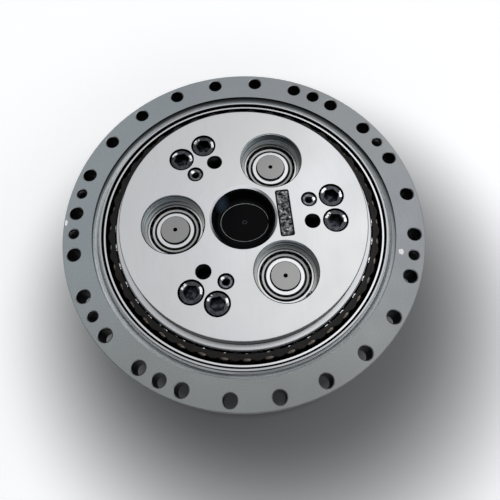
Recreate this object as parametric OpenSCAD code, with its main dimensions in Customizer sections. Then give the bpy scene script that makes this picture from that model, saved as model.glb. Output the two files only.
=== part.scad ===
// Two-stage cycloidal reducer with a planetary first stage inside.
// Origin: on the main axis, in the mounting face under the case flange.
// +Z points out of the hold flange, the side that the input gear enters.

/* [Case] */
// Outer diameter of the case flange
flange_d = 370; // [366:1:380]
// Thickness of the case flange
flange_t = 30; // [27:0.5:34]
// Diameter of the case body under the flange, which is also the mounting spigot
body_d = 326; // [320:1:328]
// Overall height of the case
case_h = 119; // [116:1:124]
// Pitch circle of the holes in the flange
flange_pcd = 348; // [346:0.5:350]
// Number of bolt holes in the flange
flange_bolts = 24; // [24:24:24]
// Diameter of each flange bolt hole
flange_hole_d = 13.5; // [11:0.1:14.5]
// Diameter of the two dowel holes in the flange
dowel_hole_d = 13; // [10:0.1:14]
// Tapping diameter of the jacking holes in the flange
jack_hole_d = 10.2; // [8.5:0.1:12]
// Edge break on the case, the carrier and their holes
edge_break = 1; // [0.4:0.1:1.2]
// Outer diameter of the ring groove in the case face
groove_od = 310.8; // [308:0.2:314]
// Inner diameter of the ring groove in the case face
groove_id = 295.2; // [293.6:0.2:297]
// Depth of the ring groove
groove_depth = 5.5; // [4:0.1:6.5]

/* [Main bearings] */
// Outer diameter of each main bearing
brg_od = 290.4; // [289:0.2:291]
// Bore of each main bearing
brg_id = 236; // [232:0.5:240]
// Width of each bearing ring
brg_w = 19; // [18:0.5:20]
// Diameter of each ball
ball_d = 14; // [13:0.1:14.4]
// Balls in each main bearing
ball_count = 40; // [34:1:42]
// Pitch circle of the balls
ball_pcd = 269; // [268:0.2:270]
// Depth of the ball centres below the case face
ball_drop = 9.5; // [9:0.1:10.5]
// Depth of the outer ring below the case face
ring_drop = 2.7; // [2:0.1:3.4]
// Height of the inner ring above the case face
ring_rise = 3.7; // [3:0.1:4.4]
// Running clearance between a rolling element and its race
race_gap = 0.2; // [0.15:0.01:0.3]

/* [Pin ring] */
// Number of ring pins
pin_count = 40; // [34:1:42]
// Diameter of each ring pin
pin_d = 10; // [9:0.1:11]
// Pitch circle of the ring pins
pin_pcd = 264; // [262:0.5:266]
// Distance between the two main bearing shoulders in the case
shoulder_gap = 60; // [59:0.5:62]

/* [Cycloid discs] */
// Eccentricity of the crankshafts
throw = 2.2; // [1.6:0.1:2.4]
// Thickness of each cycloid disc
disc_t = 21; // [19:0.5:21.5]
// Gap between the two discs
disc_gap = 3; // [2:0.1:3.4]
// Running clearance between the lobes and the ring pins
mesh_gap = 0.25; // [0.2:0.01:0.4]
// Diameter of the hole through the middle of each disc
disc_bore_d = 72; // [68:1:76]

/* [Crankshafts] */
// Pitch circle of the three crankshafts
crank_pcd = 140; // [138:0.5:142]
// Diameter of the bearing journals
journal_d = 30; // [28:0.5:31]
// Diameter of the eccentrics
eccentric_d = 38; // [36:0.5:39]
// Diameter of the collars beside the eccentrics
collar_d = 45; // [43:0.5:46]
// Thickness of the end collars
collar_t = 2.5; // [2:0.1:3]
// Diameter of each needle roller
needle_d = 5.6; // [5:0.1:6]
// Needle rollers round each eccentric
needle_count = 18; // [12:1:20]
// Height of the crankshaft ends above the case face
crank_rise = 2.5; // [1.8:0.1:3.2]

/* [Crank bearings] */
// Outer diameter of each tapered bearing cup
cup_d = 62; // [61:0.5:64]
// Width of each cup
cup_w = 14; // [13.5:0.1:14.2]
// Width of each cone
cone_w = 16; // [15.8:0.05:16.2]
// Width of an assembled tapered bearing
set_w = 17.25; // [17:0.05:17.5]
// Height of the upper cups above the case face
cup_rise = 1.2; // [0.8:0.1:1.6]
// Tapered rollers in each bearing
taper_count = 17; // [14:1:17]
// Mean diameter of each tapered roller
taper_d = 6.2; // [5.8:0.1:6.4]
// Length of each tapered roller
taper_l = 10.5; // [9.5:0.1:10.8]
// Thickness of the snap rings over the upper cups
snap_t = 2; // [1.6:0.1:2.4]

/* [Spur gears] */
// Teeth on each spur gear
gear_teeth = 34; // [28:1:34]
// Module of the spur gears
gear_module = 2.5; // [2.2:0.05:2.5]
// Face width of each spur gear
gear_t = 12; // [10:0.5:12.5]

/* [Carrier] */
// Overall height, from the output face to the hold flange face
overall_h = 140; // [138:0.5:143]
// Angle of the first bolt group from the first flange hole
carrier_angle = 2.65; // [0:0.05:7.5]
// Diameter of the hold flange
plate_d = 247.4; // [246:0.2:249]
// Height of the hold flange face above the case face
plate_rise = 17.4; // [16.8:0.1:18.4]
// Thickness of the hold flange
plate_t = 34.4; // [34:0.1:35]
// Diameter of the output flange, which the oil seal runs on
output_d = 256; // [252:0.5:258]
// Diameter of the bore through the hold flange
bore_d = 64; // [60:0.5:65]
// Chamfer at the mouth of that bore
bore_chamfer = 2; // [1:0.1:2.2]
// Radius to the outer side of each pillar
pillar_out = 104; // [103:0.5:106]
// Radius to the inner side of each pillar
pillar_in = 56; // [55:0.5:57]
// Width of each pillar
pillar_w = 52; // [50:0.5:53]
// Thread diameter of the clamp bolts
bolt_d = 16; // [14:1:16]
// Length of the clamp bolts under the head
bolt_l = 50; // [42:1:54]
// Pitch circle of the clamp bolts
bolt_pcd = 182.8; // [181:0.2:184]
// Angle of each clamp bolt from the middle of its group
bolt_spread = 8.6; // [8.4:0.05:8.9]
// Diameter of the clamp bolt counterbores
counterbore_d = 25.6; // [25:0.1:26.4]
// Large diameter of the taper pins
taper_pin_d = 16; // [14:0.5:16.5]
// Length of the taper pins
taper_pin_l = 50; // [44:1:54]
// Pitch circle of the taper pins and of the lifting threads
inner_pcd = 137; // [136:0.5:138]
// Angle of each taper pin or lifting thread from the middle of its group
inner_spread = 10; // [9.5:0.05:10.4]
// Tapping diameter of the lifting threads in the hold flange
lift_hole_d = 14; // [12:0.1:15]
// Depth of the lifting threads
lift_hole_depth = 26; // [20:0.5:30]
// Length of the bare pad beside the bore
pad_l = 50.6; // [46:0.2:52]
// Width of the bare pad
pad_w = 14.3; // [12:0.1:14.4]

/* [Output face] */
// Pitch circle of the output bolts
output_pcd = 212; // [210:0.5:216]
// Number of output bolts
output_bolts = 12; // [6:2:12]
// Tapping diameter of the output bolts
output_hole_d = 14; // [12:0.1:15]
// Depth of the output bolt holes
output_hole_depth = 20; // [18:0.5:20.5]
// Diameter of the pilot recess in the output face
pilot_d = 80; // [76:0.5:90]
// Depth of the pilot recess
pilot_depth = 8; // [6:0.5:8.5]
// Diameter of the bore through the output flange
shaft_bore_d = 60; // [56:0.5:62]

/* [Seals] */
// Outer diameter of the oil seal
seal_od = 292; // [291.4:0.1:294]
// Height of the oil seal
seal_h = 9; // [8:0.5:9.5]

/* [Hidden] */
$fn = 96;

// Clearances and small allowances
fit = 0.02;          // between parts that seat in each other
eps = 0.5;           // by which a cutter runs past a face
play = 1;            // between faces that only pass each other
seal_gap = 0.3;      // between the seal lip and the turning flange

// Levels of the case and the main bearings
face_z = flange_t;
foot_z = face_z - case_h;
ring_top_z = face_z - ring_drop;
upper_seat_z = ring_top_z - brg_w;
lower_seat_z = upper_seat_z - shoulder_gap;
mid_z = (upper_seat_z + lower_seat_z) / 2;
inner_top_z = face_z + ring_rise;
ball_z = face_z - ball_drop;
seal_seat_h = seal_h + 1;

// Levels of the carrier
plate_top_z = face_z + plate_rise;
plate_low_z = plate_top_z - plate_t;
output_z = plate_top_z - overall_h;
inner_low_z = 2 * mid_z - inner_top_z;

// Levels along a crankshaft, from the top down
crank_top_z = face_z + crank_rise;
cup_top_z = face_z + cup_rise;
cone_back_z = cup_top_z - set_w;
gear_top_z = plate_low_z - play;
gear_low_z = gear_top_z - gear_t;
eccentric_l = disc_t + play;
upper_ecc_z = gear_low_z - collar_t;
middle_collar_t = disc_gap - play;
lower_ecc_z = upper_ecc_z - eccentric_l - middle_collar_t;
low_collar_z = lower_ecc_z - eccentric_l;
low_cone_back_z = low_collar_z - collar_t;
low_cup_z = low_cone_back_z - set_w;
crank_end_gap = 2;
crank_low_z = low_cone_back_z - cone_w - 0.5;
pocket_low_z = crank_low_z - crank_end_gap;
shaft_top_z = low_cone_back_z - play;

// Levels of the discs
upper_disc_z = upper_ecc_z - play / 2 - disc_t;
lower_disc_z = lower_ecc_z - play / 2 - disc_t;

// Radii that more than one piece uses
seat_r = brg_od / 2;
pin_bore_r = pin_pcd / 2 + 1;
ball_r = ball_d / 2;
ball_pitch_r = ball_pcd / 2;
inner_shoulder_r = ball_pitch_r - 4.5;
needle_pitch_r = eccentric_d / 2 + race_gap + needle_d / 2;
needle_race_r = needle_pitch_r + needle_d / 2 + race_gap;
well_r = cup_d / 2;
output_r = output_d / 2;

// Directions of the cranks and the pillars, and of the eccentrics at rest
crank_angles = [for (n = [0 : 2]) carrier_angle + 60 + 120 * n];
pillar_angles = [for (n = [0 : 2]) carrier_angle + 120 * n];
throw_angle = 0;

// Holes of the flange, counted in steps of half a bolt pitch
step = 360 / flange_bolts / 2;
dowel_steps = [8, 32];
jack_steps = [4, 22, 24, 28, 46];

// Socket head clamp bolts
head_d = bolt_d * 1.5;
head_gap = 1.2;
head_h = bolt_d;
counterbore_depth = head_h + head_gap;
hex_af = bolt_d * 0.875;
hex_depth = bolt_d * 0.5;

// Geometry of the tapered crank bearings, measured from the cup's outer face
roller_tilt = 12;
roller_taper = 2;
roller_drop = 8.4;
roller_pitch_r = (journal_d + cup_d) / 4 + 0.4;
roller_r = taper_d / 2;
along = [-sin(roller_tilt), cos(roller_tilt)];
across = [cos(roller_tilt), sin(roller_tilt)];
roller_mid = [roller_pitch_r, -roller_drop];
cup_slope = roller_tilt + roller_taper;
cone_slope = roller_tilt - roller_taper;
cup_point = roller_mid + roller_r * across + race_gap * [cos(cup_slope), sin(cup_slope)];
cone_point = roller_mid - roller_r * across - race_gap * [cos(cone_slope), sin(cone_slope)];
function cup_race_r(z) = cup_point[0] + (cup_point[1] - z) * tan(cup_slope);
function cone_race_r(z) = cone_point[0] + (cone_point[1] - z) * tan(cone_slope);

// Places a child at every angle of a list, on a circle of radius r
module around(angles, r) {
    for (a = angles) rotate([0, 0, a]) translate([r, 0, 0]) children();
}

// Turns a section about the main axis
module turned(points) {
    rotate_extrude($fn = 240) polygon(points);
}

// A plain cylinder between two heights
module rod(r, low, high) {
    translate([0, 0, low]) cylinder(r = r, h = high - low);
}

// A hole with an edge break at the top and, if asked, at the bottom
module hole(r, low, high, both = false) {
    rod(r, low - eps, high + eps);
    translate([0, 0, high - edge_break])
        cylinder(r1 = r, r2 = r + edge_break + eps, h = edge_break + eps);
    if (both)
        translate([0, 0, low - eps])
            cylinder(r1 = r + edge_break + eps, r2 = r, h = edge_break + eps);
}

// Mirrors what belongs to the upper main bearing to the lower one
module mirrored_low() {
    translate([0, 0, 2 * mid_z]) mirror([0, 0, 1]) children();
}

// ---- Case, pins, seal ----

module case_blank() {
    turned([
        [seat_r, face_z - 0.5], [seat_r + 0.5, face_z],
        [groove_id / 2, face_z], [groove_id / 2, face_z - groove_depth],
        [groove_id / 2 + 2.4, face_z - groove_depth],
        [groove_od / 2, face_z - groove_depth * 0.4], [groove_od / 2, face_z],
        [flange_d / 2 - edge_break, face_z], [flange_d / 2, face_z - edge_break],
        [flange_d / 2, edge_break], [flange_d / 2 - edge_break, 0],
        [body_d / 2, 0], [body_d / 2, foot_z + 2 * edge_break],
        [body_d / 2 - 2 * edge_break, foot_z],
        [seal_od / 2 + edge_break, foot_z], [seal_od / 2, foot_z + edge_break],
        [seal_od / 2, foot_z + seal_seat_h], [seat_r, foot_z + seal_seat_h],
        [seat_r, lower_seat_z], [pin_bore_r, lower_seat_z],
        [pin_bore_r, upper_seat_z], [seat_r, upper_seat_z]
    ]);
}

module case() {
    color("slategray") difference() {
        case_blank();
        around([for (n = [0 : pin_count - 1]) n * 360 / pin_count], pin_pcd / 2)
            rod(pin_d / 2 + fit, lower_seat_z - eps, upper_seat_z + eps);
        around([for (n = [0 : flange_bolts - 1]) (2 * n + 1) * step], flange_pcd / 2)
            hole(flange_hole_d / 2, 0, face_z, true);
        around([for (n = dowel_steps) n * step], flange_pcd / 2)
            hole(dowel_hole_d / 2, 0, face_z, true);
        around([for (n = jack_steps) n * step], flange_pcd / 2)
            hole(jack_hole_d / 2, 0, face_z, true);
    }
}

module ring_pins() {
    end_gap = 0.3;
    color("silver")
        around([for (n = [0 : pin_count - 1]) n * 360 / pin_count], pin_pcd / 2)
            rod(pin_d / 2, lower_seat_z + end_gap, upper_seat_z - end_gap);
}

module oil_seal() {
    low = foot_z + 0.5;
    high = low + seal_h;
    rim_r = seal_od / 2 - fit;
    lip_r = output_r + seal_gap;
    color("saddlebrown") turned([
        [rim_r, low], [rim_r, high], [rim_r - 4, high], [rim_r - 4, low + 3],
        [lip_r + 3.5, low + 3], [lip_r + 2.5, high - 1.5], [lip_r, high - 3],
        [lip_r + 1.2, low + 1.5], [lip_r + 2.5, low]
    ]);
}

// ---- Main bearings ----

module ball_groove() {
    rotate_extrude($fn = 240) translate([ball_pitch_r, ball_z])
        circle(r = ball_r + race_gap, $fn = 72);
}

module outer_ring() {
    low_r = ball_pitch_r + ball_r + race_gap;
    high_r = ball_pitch_r + 3.5;
    low_z = upper_seat_z;
    difference() {
        turned([
            [seat_r - fit, low_z], [seat_r - fit, ring_top_z - 1.2],
            [seat_r - fit - 1.2, ring_top_z], [low_r + 0.2, ring_top_z],
            [low_r, ring_top_z - 0.2], [low_r, ball_z],
            [high_r, ball_z], [high_r, low_z]
        ]);
        ball_groove();
    }
}

module inner_ring() {
    low_r = ball_pitch_r - ball_r - race_gap;
    low_z = inner_top_z - brg_w;
    difference() {
        turned([
            [brg_id / 2 + fit, low_z], [low_r - 0.5, low_z], [low_r, low_z + 0.5],
            [low_r, ball_z], [inner_shoulder_r, ball_z],
            [inner_shoulder_r, inner_top_z - 1.2], [inner_shoulder_r - 1.2, inner_top_z],
            [brg_id / 2 + fit, inner_top_z]
        ]);
        ball_groove();
    }
}

module balls() {
    around([for (n = [0 : ball_count - 1]) ball_phase + n * 360 / ball_count], ball_pitch_r)
        translate([0, 0, ball_z]) sphere(r = ball_r, $fn = 48);
}

ball_phase = -2.2;

module ball_cage() {
    band_in = ball_pitch_r - 2.6;
    band_out = ball_pitch_r + 0.8;
    top_z = ball_z + ball_r + 1.3;
    low_z = ball_z - 2.5;
    difference() {
        turned([[band_in, low_z], [band_out, low_z], [band_out, top_z], [band_in, top_z]]);
        around([for (n = [0 : ball_count - 1]) ball_phase + n * 360 / ball_count], ball_pitch_r)
            translate([0, 0, ball_z]) {
                sphere(r = ball_r + 0.25, $fn = 48);
                rotate([0, 90, 0]) translate([0, 0, -ball_r])
                    cylinder(r = ball_r * 0.93, h = ball_d, $fn = 48);
            }
    }
}

module outer_ring_upper() { color("white") outer_ring(); }
module outer_ring_lower() { color("white") mirrored_low() outer_ring(); }
module inner_ring_upper() { color("white") inner_ring(); }
module inner_ring_lower() { color("white") mirrored_low() inner_ring(); }
module balls_upper() { color("gainsboro") balls(); }
module balls_lower() { color("gainsboro") mirrored_low() balls(); }
module ball_cage_upper() { color("saddlebrown") ball_cage(); }
module ball_cage_lower() { color("saddlebrown") mirrored_low() ball_cage(); }

// ---- Cycloid discs ----

// Outline of a disc with one lobe fewer than the pins, offset from the pin centres
function lobe_point(t, r, e, n, off) = let (
    p = [r * cos(t) - e * cos(n * t), r * sin(t) - e * sin(n * t)],
    d = [-r * sin(t) + e * n * sin(n * t), r * cos(t) - e * n * cos(n * t)],
    s = off / norm(d)
) [p[0] - d[1] * s, p[1] + d[0] * s];

// The points lie closer together in the valleys, where the outline bends most
module cycloid_outline() {
    lobes = pin_count - 1;
    points_per_lobe = 14;
    crowding = 0.75;
    polygon([for (n = [0 : lobes * points_per_lobe - 1])
        let (u = 360 * n / points_per_lobe, t = (u - crowding * sin(u) * 180 / PI) / lobes)
        lobe_point(t, pin_pcd / 2, throw, pin_count, pin_d / 2 + mesh_gap)]);
}

// The section of one pillar, widened all round by extra
module pillar_section(extra) {
    intersection() {
        difference() {
            circle(r = pillar_out + extra, $fn = 180);
            circle(r = pillar_in - extra, $fn = 180);
        }
        translate([0, -pillar_w / 2 - extra]) square([2 * pillar_out, pillar_w + 2 * extra]);
    }
}

// direction is where the eccentrics push this disc at rest
module disc(low_z, direction) {
    translate([throw * cos(direction), throw * sin(direction), low_z]) difference() {
        rotate([0, 0, -direction / (pin_count - 1)]) linear_extrude(disc_t) cycloid_outline();
        rod(disc_bore_d / 2, -eps, disc_t + eps);
        around(crank_angles, crank_pcd / 2) rod(needle_race_r, -eps, disc_t + eps);
        for (a = pillar_angles) rotate([0, 0, a]) translate([0, 0, -eps])
            linear_extrude(disc_t + 2 * eps) pillar_section(throw + play);
    }
}

module disc_upper() { color("lightsteelblue") disc(upper_disc_z, throw_angle); }
module disc_lower() { color("lightsteelblue") disc(lower_disc_z, throw_angle + 180); }

// ---- Crankshafts and their bearings ----

// Moves a piece drawn on the Z axis to one of the cranks
module at_crank(n) {
    rotate([0, 0, crank_angles[n - 1]]) translate([crank_pcd / 2, 0, 0])
        rotate([0, 0, -crank_angles[n - 1]]) children();
}

// Moves a piece drawn on the Z axis to an eccentric that points in a direction
module at_eccentric(n, direction) {
    at_crank(n) translate([throw * cos(direction), throw * sin(direction), 0]) children();
}

spline_teeth = 20;
spline_root_r = journal_d / 2 + 1.6;
spline_tip_r = spline_root_r + 1.4;

module spline(extra) {
    polygon([for (n = [0 : spline_teeth - 1], k = [0 : 3])
        let (a = (n + [0, 0.25, 0.5, 0.75][k]) * 360 / spline_teeth,
             r = (k < 2 ? spline_root_r : spline_tip_r) + extra)
        [r * cos(a), r * sin(a)]]);
}

module eccentric(low_z, direction) {
    translate([throw * cos(direction), throw * sin(direction), 0])
        rod(eccentric_d / 2, low_z - eps, low_z + eccentric_l + eps);
}

module centre_drill(depth) {
    rotate_extrude($fn = 32)
        polygon([[0, -depth], [1, -depth + 0.5], [1, -2], [2.1, 0], [2.1, eps], [0, eps]]);
}

module crankshaft(n) {
    ends = journal_d / 2;
    color("darkgray") at_crank(n) difference() {
        union() {
            rotate_extrude() polygon([
                [0, cone_back_z - eps], [ends, cone_back_z - eps], [ends, crank_top_z - 0.6],
                [ends - 0.6, crank_top_z], [0, crank_top_z]
            ]);
            translate([0, 0, gear_low_z - eps])
                linear_extrude(cone_back_z - gear_low_z + eps) spline(0);
            rod(collar_d / 2, upper_ecc_z, gear_low_z);
            eccentric(upper_ecc_z - eccentric_l, throw_angle);
            rod(collar_d / 2, lower_ecc_z, lower_ecc_z + middle_collar_t);
            eccentric(low_collar_z, throw_angle + 180);
            rod(collar_d / 2, low_cone_back_z, low_collar_z);
            rod(ends, crank_low_z, low_cone_back_z + eps);
        }
        translate([0, 0, crank_top_z]) centre_drill(6);
        translate([0, 0, crank_low_z]) mirror([0, 0, 1]) centre_drill(6);
    }
}

// One tooth is a flank up to the tip, the tip, a flank down and the root
module gear_outline() {
    pitch_r = gear_module * gear_teeth / 2;
    tip_r = pitch_r + gear_module;
    root_r = pitch_r - 1.25 * gear_module;
    tooth = 360 / gear_teeth;
    radii = [root_r, root_r + 0.3 * gear_module, pitch_r, pitch_r + 0.6 * gear_module, tip_r];
    halves = [0.34, 0.31, 0.25, 0.19, 0.14];
    polygon([for (n = [0 : gear_teeth - 1], k = [0 : 9])
        let (i = k < 5 ? k : 9 - k,
             a = (n + (k < 5 ? -1 : 1) * halves[i]) * tooth)
        [radii[i] * cos(a), radii[i] * sin(a)]]);
}

module spur_gear(n) {
    hub_r = spline_tip_r + 3;
    color("dimgray") at_crank(n) difference() {
        union() {
            translate([0, 0, gear_low_z]) linear_extrude(gear_t) gear_outline();
            rod(hub_r, gear_low_z + eps, cone_back_z);
        }
        translate([0, 0, gear_low_z - eps])
            linear_extrude(cone_back_z - gear_low_z + 2 * eps) spline(fit);
    }
}

// A tapered bearing's pieces are drawn with the cup's outer face at z = 0, rollers below it
module cup() {
    rotate_extrude() polygon([
        [cup_race_r(-1.4), -1.4], [cup_race_r(0) + 1.3, 0],
        [well_r - fit - 0.6, 0], [well_r - fit, -0.6], [well_r - fit, -cup_w],
        [cup_race_r(-cup_w), -cup_w]
    ]);
}

module cone() {
    front_z = cone_w - set_w;
    front_rib_z = roller_mid[1] + taper_l / 2 * along[1] + 0.4;
    back_rib_z = roller_mid[1] - taper_l / 2 * along[1] - roller_r * across[1] - 0.4;
    bore_r = journal_d / 2 + fit;
    front_r = cone_race_r(front_rib_z) + 1.2;
    back_r = cone_race_r(back_rib_z) + 2.4;
    rotate_extrude() polygon([
        [bore_r, -set_w + 0.6], [bore_r + 0.6, -set_w], [back_r - 0.5, -set_w],
        [back_r, -set_w + 0.5], [back_r, back_rib_z], [cone_race_r(back_rib_z), back_rib_z],
        [cone_race_r(front_rib_z), front_rib_z], [front_r, front_rib_z],
        [front_r, front_z - 0.3], [front_r - 0.3, front_z], [bore_r + 0.5, front_z],
        [bore_r, front_z - 0.5]
    ]);
}

module taper_roller(extra) {
    big_r = roller_r + taper_l / 2 * tan(roller_taper) + extra;
    small_r = roller_r - taper_l / 2 * tan(roller_taper) + extra;
    translate([roller_mid[0], 0, roller_mid[1]]) rotate([0, -roller_tilt, 0])
        translate([0, 0, -taper_l / 2 - extra])
            cylinder(r1 = big_r, r2 = small_r, h = taper_l + 2 * extra, $fn = 32);
}

module taper_rollers_set() {
    for (n = [0 : taper_count - 1]) rotate([0, 0, n * 360 / taper_count]) taper_roller(0);
}

// A conical shell with a lip turned outwards over the small ends of the rollers
module taper_cage() {
    half_t = 0.75;
    lip_t = 1;
    lip_w = 1.9;
    lip_low = roller_mid + (taper_l / 2 + 0.4) * along;
    lip_top = lip_low + lip_t * along;
    big_end = roller_mid - (taper_l / 2 + 1) * along;
    difference() {
        rotate_extrude() polygon([
            lip_top - half_t * across, lip_top + lip_w * across, lip_low + lip_w * across,
            lip_low + half_t * across, big_end + half_t * across, big_end - half_t * across
        ]);
        for (n = [0 : taper_count - 1]) rotate([0, 0, n * 360 / taper_count]) taper_roller(0.2);
    }
}

// Places an upper and a lower copy of a tapered bearing piece
module upper_set() { translate([0, 0, cup_top_z]) children(); }
module lower_set() { translate([0, 0, low_cup_z]) mirror([0, 0, 1]) children(); }

module crank_cups_upper() {
    color("white") for (n = [1 : 3]) at_crank(n) upper_set() cup();
}

module crank_cups_lower() {
    color("white") for (n = [1 : 3]) at_crank(n) lower_set() cup();
}

module crank_cone_upper(n) { color("white") at_crank(n) upper_set() cone(); }
module crank_cone_lower(n) { color("white") at_crank(n) lower_set() cone(); }

module taper_rollers(n) {
    color("gainsboro") at_crank(n) {
        upper_set() taper_rollers_set();
        lower_set() taper_rollers_set();
    }
}

module taper_cages(n) {
    color("gray") at_crank(n) {
        upper_set() taper_cage();
        lower_set() taper_cage();
    }
}

needle_l = disc_t - 3;

module needle_ring(low_z) {
    around([for (n = [0 : needle_count - 1]) n * 360 / needle_count], needle_pitch_r)
        translate([0, 0, low_z + (eccentric_l - needle_l) / 2])
            cylinder(r = needle_d / 2, h = needle_l, $fn = 24);
}

module needle_cage(low_z) {
    pocket = 0.15;
    cage_l = eccentric_l - 0.6;
    difference() {
        translate([0, 0, low_z + 0.3]) rotate_extrude() polygon([
            [needle_pitch_r - 1, 0], [needle_pitch_r + 1, 0],
            [needle_pitch_r + 1, cage_l], [needle_pitch_r - 1, cage_l]
        ]);
        around([for (n = [0 : needle_count - 1]) n * 360 / needle_count], needle_pitch_r)
            translate([0, 0, low_z + (eccentric_l - needle_l) / 2 - pocket])
                cylinder(r = needle_d / 2 + pocket, h = needle_l + 2 * pocket, $fn = 24);
    }
}

module needle_rollers_upper(n) {
    color("gainsboro") at_eccentric(n, throw_angle) needle_ring(upper_ecc_z - eccentric_l);
}
module needle_rollers_lower(n) {
    color("gainsboro") at_eccentric(n, throw_angle + 180) needle_ring(low_collar_z);
}
module needle_cage_upper(n) {
    color("gray") at_eccentric(n, throw_angle) needle_cage(upper_ecc_z - eccentric_l);
}
module needle_cage_lower(n) {
    color("gray") at_eccentric(n, throw_angle + 180) needle_cage(low_collar_z);
}

snap_gap_angle = 11;
snap_out_r = well_r + 1.3;
snap_in_r = well_r - 2.8;

module snap_ring() {
    difference() {
        rod(snap_out_r, 0, snap_t);
        rod(snap_in_r, -eps, snap_t + eps);
        rotate([0, 0, -snap_gap_angle / 2]) translate([0, 0, -eps])
            linear_extrude(snap_t + 2 * eps) polygon([
                [0, 0], [2 * snap_out_r, 0],
                [2 * snap_out_r, 2 * snap_out_r * tan(snap_gap_angle)]
            ]);
        for (s = [-1, 1]) rotate([0, 0, s * (snap_gap_angle / 2 + 3.2)])
            translate([(snap_in_r + snap_out_r) / 2 - 0.6, 0, 0]) rod(0.9, -eps, snap_t + eps);
    }
}

module snap_rings() {
    gap_angles = [-32, -8, -47];
    color("lightgray") for (n = [1 : 3]) at_crank(n)
        translate([0, 0, cup_top_z]) rotate([0, 0, gap_angles[n - 1]]) snap_ring();
}

// ---- Carrier ----

module clamp_bolt_places() {
    around([for (a = pillar_angles, s = [-1, 1]) a + s * bolt_spread], bolt_pcd / 2) children();
}

module taper_pin_places() {
    around([for (a = pillar_angles) a + inner_spread], inner_pcd / 2) children();
}

module lift_hole_places() {
    around([for (a = pillar_angles) a - inner_spread], inner_pcd / 2) children();
}

// Taper of 1 in 50 on the diameter
pin_top_z = plate_top_z - 1.4;
pin_low_z = pin_top_z - taper_pin_l;
pin_low_d = taper_pin_d - taper_pin_l / 50;

module taper_pin_body(extra) {
    translate([0, 0, pin_low_z])
        cylinder(r1 = pin_low_d / 2 + extra, r2 = taper_pin_d / 2 + extra, h = taper_pin_l);
}

module taper_pins() {
    color("dimgray") taper_pin_places() difference() {
        taper_pin_body(0);
        rod(taper_pin_d * 0.21, pin_top_z - 22, pin_top_z + eps);
        translate([0, 0, pin_top_z - 0.8])
            cylinder(r1 = taper_pin_d * 0.21, r2 = taper_pin_d * 0.21 + 0.8 + eps, h = 0.8 + eps);
        translate([0, 0, pin_top_z - 1]) difference() {
            rod(taper_pin_d, 0, 1 + eps);
            translate([0, 0, -eps])
                cylinder(r1 = taper_pin_d / 2 + eps, r2 = taper_pin_d / 2 - 1 - eps, h = 1 + 2 * eps);
        }
    }
}

module clamp_bolts() {
    seat_z = plate_top_z - counterbore_depth;
    color([0.12, 0.12, 0.14]) clamp_bolt_places() difference() {
        union() {
            rod(bolt_d / 2 - 2 * fit, seat_z - bolt_l, seat_z + eps);
            rotate_extrude() polygon([
                [0, seat_z], [head_d / 2, seat_z], [head_d / 2, seat_z + head_h - 1.2],
                [head_d / 2 - 1.2, seat_z + head_h], [0, seat_z + head_h]
            ]);
        }
        translate([0, 0, seat_z + head_h - hex_depth])
            cylinder(r = hex_af / 2 / cos(30), h = hex_depth + eps, $fn = 6);
    }
}

pad_r = 41.3;
pad_depth = 0.4;
pad_corner = 2.5;

module pad_pocket() {
    side = pad_w / 2 - pad_corner;
    end = pad_l / 2 - pad_corner;
    rotate([0, 0, carrier_angle]) translate([pad_r, 0, plate_top_z - pad_depth])
        linear_extrude(eps + pad_depth) {
            square([2 * side, pad_l], center = true);
            square([pad_w, 2 * end], center = true);
            for (i = [-1, 1], j = [-1, 1])
                translate([i * side, j * end]) circle(r = pad_corner, $fn = 32);
        }
}

module hold_flange() {
    seat = brg_id / 2;
    color("gainsboro") difference() {
        turned([
            [0, plate_low_z], [seat - edge_break, plate_low_z], [seat, plate_low_z + edge_break],
            [seat, inner_top_z], [plate_d / 2, inner_top_z],
            [plate_d / 2, plate_top_z - edge_break], [plate_d / 2 - edge_break, plate_top_z],
            [0, plate_top_z]
        ]);
        rod(bore_d / 2, plate_low_z - eps, plate_top_z + eps);
        translate([0, 0, plate_top_z - bore_chamfer])
            cylinder(r1 = bore_d / 2, r2 = bore_d / 2 + bore_chamfer + eps, h = bore_chamfer + eps);
        around(crank_angles, crank_pcd / 2) {
            hole(well_r, plate_low_z, plate_top_z);
            rod(snap_out_r + 0.2, cup_top_z, cup_top_z + snap_t + 0.1);
        }
        clamp_bolt_places() {
            rod(bolt_d / 2 + 0.5, plate_low_z - eps, plate_top_z);
            rod(counterbore_d / 2, plate_top_z - counterbore_depth, plate_top_z + eps);
        }
        taper_pin_places() {
            taper_pin_body(fit);
            rod(taper_pin_d / 2 + 0.2, pin_top_z - eps, plate_top_z + eps);
        }
        lift_hole_places() hole(lift_hole_d / 2, plate_top_z - lift_hole_depth + eps, plate_top_z);
        pad_pocket();
    }
}

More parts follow.
